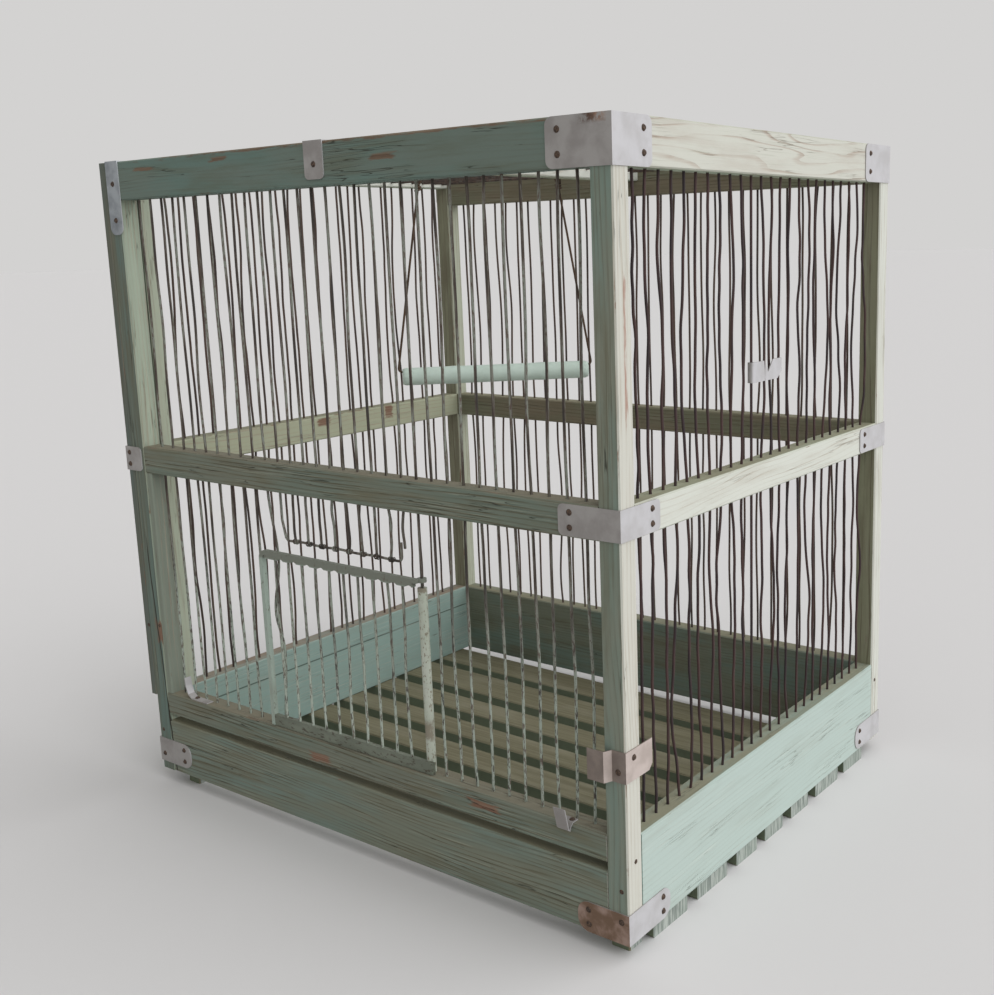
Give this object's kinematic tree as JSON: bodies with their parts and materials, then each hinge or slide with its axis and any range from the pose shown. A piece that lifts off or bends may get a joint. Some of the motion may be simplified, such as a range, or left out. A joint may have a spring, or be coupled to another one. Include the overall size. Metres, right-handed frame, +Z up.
{
  "type": "canary breeding cage",
  "caption": "Wooden bird cage with upright wires let into its rails, a wired roof, a slatted floor, a tray slot, a hinged wire door and a swinging cane perch.",
  "frame": {"origin": "on the underside of the middle floor slat, midway between the outer faces of the posts both ways, where the cage stands on the table", "axes": "+Z up, -Y out of the front with the door, +X towards the right-hand side as seen from the front"},
  "size_m": [0.4028, 0.3239, 0.4194],
  "materials": {
    "front_paint": "weathered grey-green paint on softwood",
    "pale_paint": "chalky pale green paint on softwood",
    "aqua_paint": "pale blue-green paint on softwood",
    "slat_wood": "bare olive-grey softwood",
    "painted_wire": "green paint flaking off iron wire",
    "rusty_wire": "dark rust",
    "bare_tin": "dull tinplate",
    "iron_nails": "rusted heads",
    "painted_tin": "pale green paint on sheet tin",
    "painted_cane": "pale green paint on hollow cane"
  },
  "bodies": {
    "cage": {"post_front_left": "front_paint", "post_front_right": "front_paint", "post_back_left": "pale_paint", "post_back_right": "pale_paint", "left_lath": "front_paint", "left_stiles": "pale_paint", "top_rail_front": "front_paint", "top_rail_back": "front_paint", "top_rail_right": "pale_paint", "top_batten_left": "pale_paint", "mid_rail_front": "front_paint", "mid_rail_back": "front_paint", "mid_rail_left": "pale_paint", "mid_rail_right": "pale_paint", "front_sill": "front_paint", "bottom_board_front": "front_paint", "bottom_board_back": "front_paint", "bottom_board_left": "aqua_paint", "bottom_board_right": "aqua_paint", "roof_centre_bar": "pale_paint", "floor_slat_1": "slat_wood", "floor_slat_2": "slat_wood", "floor_slat_3": "slat_wood", "floor_slat_4": "slat_wood", "floor_slat_5": "slat_wood", "floor_slat_6": "slat_wood", "floor_slat_7": "slat_wood", "front_feet": "slat_wood", "front_wires": "painted_wire", "front_short_wires": "painted_wire", "door_head_wire": "painted_wire", "back_wires": "rusty_wire", "left_wires": "rusty_wire", "right_wires": "rusty_wire", "roof_wires": "rusty_wire", "bracket_top_front_right": "bare_tin", "bracket_top_back_right": "bare_tin", "bracket_top_back_left": "bare_tin", "bracket_mid_front_right": "bare_tin", "bracket_mid_front_left": "bare_tin", "bracket_mid_back_right": "bare_tin", "bracket_mid_back_left": "bare_tin", "bracket_foot_front_right": "bare_tin", "bracket_foot_front_left": "bare_tin", "bracket_foot_back_right": "bare_tin", "bracket_foot_back_left": "bare_tin", "strap_top_front_left": "bare_tin", "roof_straps": "bare_tin", "bracket_tacks": "iron_nails", "frame_nails": "iron_nails", "strip_clip": "bare_tin", "hook_clip_left": "bare_tin", "hook_clip_right": "bare_tin"},
    "door": {"door_frame": "painted_tin", "door_hinge_barrel": "painted_tin", "door_wires": "painted_wire", "door_bottom_strip": "painted_tin"},
    "swing": {"swing_hanger": "rusty_wire"},
    "perch": {"perch_cane": "painted_cane"},
    "greens_clip": {"greens_clip": "bare_tin"}
  },
  "joints": [
    {"name": "door_hinge", "type": "hinge", "parent": "cage", "child": "door", "pos_m": [0.0575, -0.1515, 0.12], "axis": [0, 0, 1], "range_deg": [0, 110]},
    {"name": "swing_hinge", "type": "hinge", "parent": "cage", "child": "swing", "pos_m": [-0.053, 0.0464, 0.4123], "axis": [0.6973, 0.7168, 0], "range_deg": [-25, 25]},
    {"name": "perch_spin", "type": "hinge", "parent": "swing", "child": "perch", "pos_m": [-0.053, 0.0464, 0.27], "axis": [0.6973, 0.7168, 0], "continuous": true},
    {"name": "greens_clip_hinge", "type": "hinge", "parent": "cage", "child": "greens_clip", "pos_m": [0.1905, -0.0174, 0.287], "axis": [0, 0, -1], "range_deg": [0, 100]}
  ]
}
